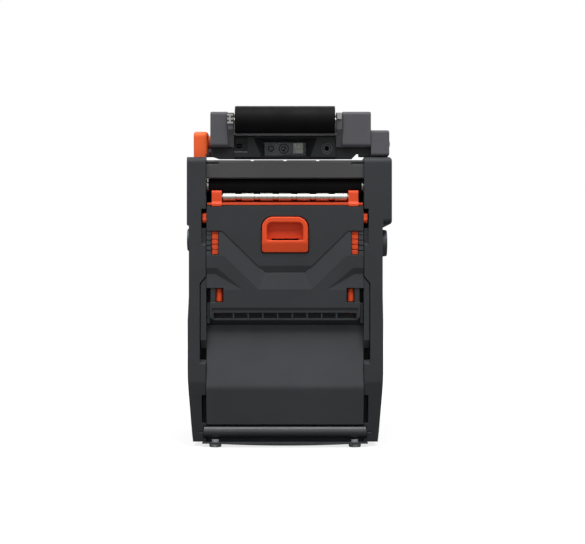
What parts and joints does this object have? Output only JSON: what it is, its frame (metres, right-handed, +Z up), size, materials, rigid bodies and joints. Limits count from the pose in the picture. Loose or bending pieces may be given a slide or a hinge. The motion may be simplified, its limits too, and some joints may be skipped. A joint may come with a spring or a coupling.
{
  "type": "portable label printer",
  "caption": "Portable printer for labels with a hinged front door, orange latch, hinged applicator head with scan window and roller, and a D-shaped grip",
  "frame": {"origin": "on the floor under the middle of the overall box", "axes": "+Z up, +Y from the front door to the grip, +X to the right when facing the door"},
  "size_m": [0.1203, 0.1828, 0.1985],
  "materials": {
    "charcoal_body": "fine-textured charcoal plastic",
    "grey_cover": "lighter charcoal plastic",
    "slate_head": "slate grey plastic",
    "black_inner": "black plastic inside",
    "grey_panel": "satin grey plastic",
    "orange_parts": "satin orange plastic",
    "steel_bright": "turned steel",
    "silver_cap": "satin aluminium",
    "black_rubber": "smooth black rubber",
    "foot_rubber": "grey rubber",
    "gear_plastic": "pale gear plastic",
    "board_green": "green circuit board",
    "window_glass": "smoked clear window",
    "head_ceramic": "printhead strip and its bar",
    "key_grey": "soft grey keys"
  },
  "bodies": {
    "root": {"base_plate": "charcoal_body", "chassis_deck": "black_inner", "display_bezel": "black_inner", "display_window": "window_glass", "gear_cover": "charcoal_body", "head_hinge_pins": "steel_bright", "left_grip_shell": "charcoal_body", "left_side_frame": "charcoal_body", "main_board": "board_green", "media_bay": "black_inner", "peel_panel": "grey_panel", "platen_bushes": "gear_plastic", "printhead": "head_ceramic", "printhead_bracket": "steel_bright", "printhead_springs": "steel_bright", "rear_housing": "charcoal_body", "right_grip_shell": "charcoal_body", "right_side_frame": "charcoal_body", "rubber_feet": "foot_rubber", "side_caps": "silver_cap", "spring_wall": "black_inner", "stepper_motor": "black_inner", "top_cover": "charcoal_body"},
    "front_door": {"hinge_rod": "charcoal_body", "door_carrier": "charcoal_body", "lower_cover": "grey_cover", "door_panel": "charcoal_body"},
    "latch": {"latch_handle": "orange_parts", "latch_shaft": "steel_bright", "latch_hooks": "orange_parts"},
    "nip_carriage": {"nip_carriage": "orange_parts"},
    "nip_roller": {"nip_roller": "steel_bright"},
    "platen": {"platen_roller": "black_rubber", "platen_shaft": "steel_bright", "platen_gear": "gear_plastic"},
    "idler": {"idler_gear": "gear_plastic"},
    "pinion": {"motor_pinion": "gear_plastic"},
    "applicator_head": {"head_frame": "slate_head", "head_top_cover": "grey_cover", "nose_panel": "black_inner", "scan_window": "window_glass", "scan_engine": "black_inner", "port_socket": "black_inner", "jack_socket": "black_inner", "head_side_cover": "slate_head", "roller_clips": "steel_bright"},
    "applicator": {"applicator_roller": "black_rubber", "applicator_shaft": "steel_bright"},
    "head_lever": {"head_lever": "orange_parts"},
    "trigger": {"trigger": "orange_parts"},
    "menu_key": {"menu_key": "key_grey"},
    "feed_key": {"feed_key": "key_grey"},
    "power_key": {"power_key": "key_grey"},
    "battery": {"battery_pack": "black_inner"},
    "battery_latch": {"battery_latch": "orange_parts"},
    "left_hub_carrier": {"left_hub_carrier": "black_inner"},
    "right_hub_carrier": {"right_hub_carrier": "black_inner"},
    "left_roll_hub": {"left_roll_hub": "gear_plastic"},
    "right_roll_hub": {"right_roll_hub": "gear_plastic"},
    "carrier_pinion": {"carrier_pinion": "gear_plastic"}
  },
  "joints": [
    {"name": "door_hinge", "type": "hinge", "parent": "root", "child": "front_door", "pos_m": [-0.0018, -0.0777, 0.0089], "axis": [1, 0, 0], "range_deg": [0, 80]},
    {"name": "latch_hinge", "type": "hinge", "parent": "front_door", "child": "latch", "pos_m": [-0.0018, -0.0818, 0.1326], "axis": [-1, 0, 0], "range_deg": [0, 10], "stiffness_Nm_per_rad": 0.02},
    {"name": "carriage_hinge", "type": "hinge", "parent": "front_door", "child": "nip_carriage", "pos_m": [-0.0018, -0.0772, 0.0805], "axis": [1, 0, 0], "range_deg": [0, 1.8], "stiffness_Nm_per_rad": 1},
    {"name": "nip_spin", "type": "hinge", "parent": "nip_carriage", "child": "nip_roller", "pos_m": [-0.0018, -0.0785, 0.146], "axis": [1, 0, 0], "continuous": true},
    {"name": "platen_spin", "type": "hinge", "parent": "root", "child": "platen", "pos_m": [-0.0018, -0.0737, 0.1528], "axis": [1, 0, 0], "continuous": true},
    {"name": "idler_spin", "type": "hinge", "parent": "root", "child": "idler", "pos_m": [-0.0018, -0.05838, 0.14566], "axis": [1, 0, 0], "continuous": true},
    {"name": "pinion_spin", "type": "hinge", "parent": "root", "child": "pinion", "pos_m": [-0.0018, -0.04174, 0.14859], "axis": [1, 0, 0], "continuous": true},
    {"name": "head_hinge", "type": "hinge", "parent": "root", "child": "applicator_head", "pos_m": [-0.0018, -0.0192, 0.18], "axis": [-1, 0, 0], "range_deg": [0, 60]},
    {"name": "applicator_spin", "type": "hinge", "parent": "applicator_head", "child": "applicator", "pos_m": [-0.0018, -0.0832, 0.1903], "axis": [1, 0, 0], "continuous": true},
    {"name": "lever_hinge", "type": "hinge", "parent": "applicator_head", "child": "head_lever", "pos_m": [-0.0508, -0.0712, 0.1784], "axis": [1, 0, 0], "range_deg": [0, 30]},
    {"name": "trigger_hinge", "type": "hinge", "parent": "root", "child": "trigger", "pos_m": [-0.0018, 0.0558, 0.107], "axis": [1, 0, 0], "range_deg": [0, 8], "stiffness_Nm_per_rad": 0.05},
    {"name": "menu_key_press", "type": "slide", "parent": "root", "child": "menu_key", "axis": [0, -0.3417, -0.9398], "range_m": [0, 0.0008], "stiffness_N_per_m": 200},
    {"name": "feed_key_press", "type": "slide", "parent": "root", "child": "feed_key", "axis": [0, -0.3417, -0.9398], "range_m": [0, 0.0008], "stiffness_N_per_m": 200},
    {"name": "power_key_press", "type": "slide", "parent": "root", "child": "power_key", "axis": [0, -0.3417, -0.9398], "range_m": [0, 0.0008], "stiffness_N_per_m": 200},
    {"name": "battery_slide", "type": "slide", "parent": "root", "child": "battery", "axis": [0, 1, 0], "range_m": [0, 0.06]},
    {"name": "battery_latch_slide", "type": "slide", "parent": "battery", "child": "battery_latch", "axis": [0, 0, -1], "range_m": [0, 0.002], "stiffness_N_per_m": 200},
    {"name": "left_carrier_slide", "type": "slide", "parent": "root", "child": "left_hub_carrier", "axis": [1, 0, 0], "range_m": [0, 0.012]},
    {"name": "right_carrier_slide", "type": "slide", "parent": "root", "child": "right_hub_carrier", "axis": [-1, 0, 0], "range_m": [0, 0.012]},
    {"name": "carrier_pinion_spin", "type": "hinge", "parent": "root", "child": "carrier_pinion", "pos_m": [-0.0018, -0.0262, 0.0087], "axis": [0, 0, 1], "range_deg": [0, 108]},
    {"name": "left_hub_spin", "type": "hinge", "parent": "left_hub_carrier", "child": "left_roll_hub", "pos_m": [-0.0378, -0.0262, 0.058], "axis": [1, 0, 0], "continuous": true},
    {"name": "right_hub_spin", "type": "hinge", "parent": "right_hub_carrier", "child": "right_roll_hub", "pos_m": [0.0342, -0.0262, 0.058], "axis": [1, 0, 0], "continuous": true}
  ],
  "couplings": [
    {"joint": "idler_spin", "follows": "platen_spin", "ratio": -0.75},
    {"joint": "pinion_spin", "follows": "platen_spin", "ratio": 1},
    {"joint": "right_carrier_slide", "follows": "left_carrier_slide", "ratio": 1},
    {"joint": "carrier_pinion_spin", "follows": "left_carrier_slide", "rad_per_m": 156.25}
  ]
}
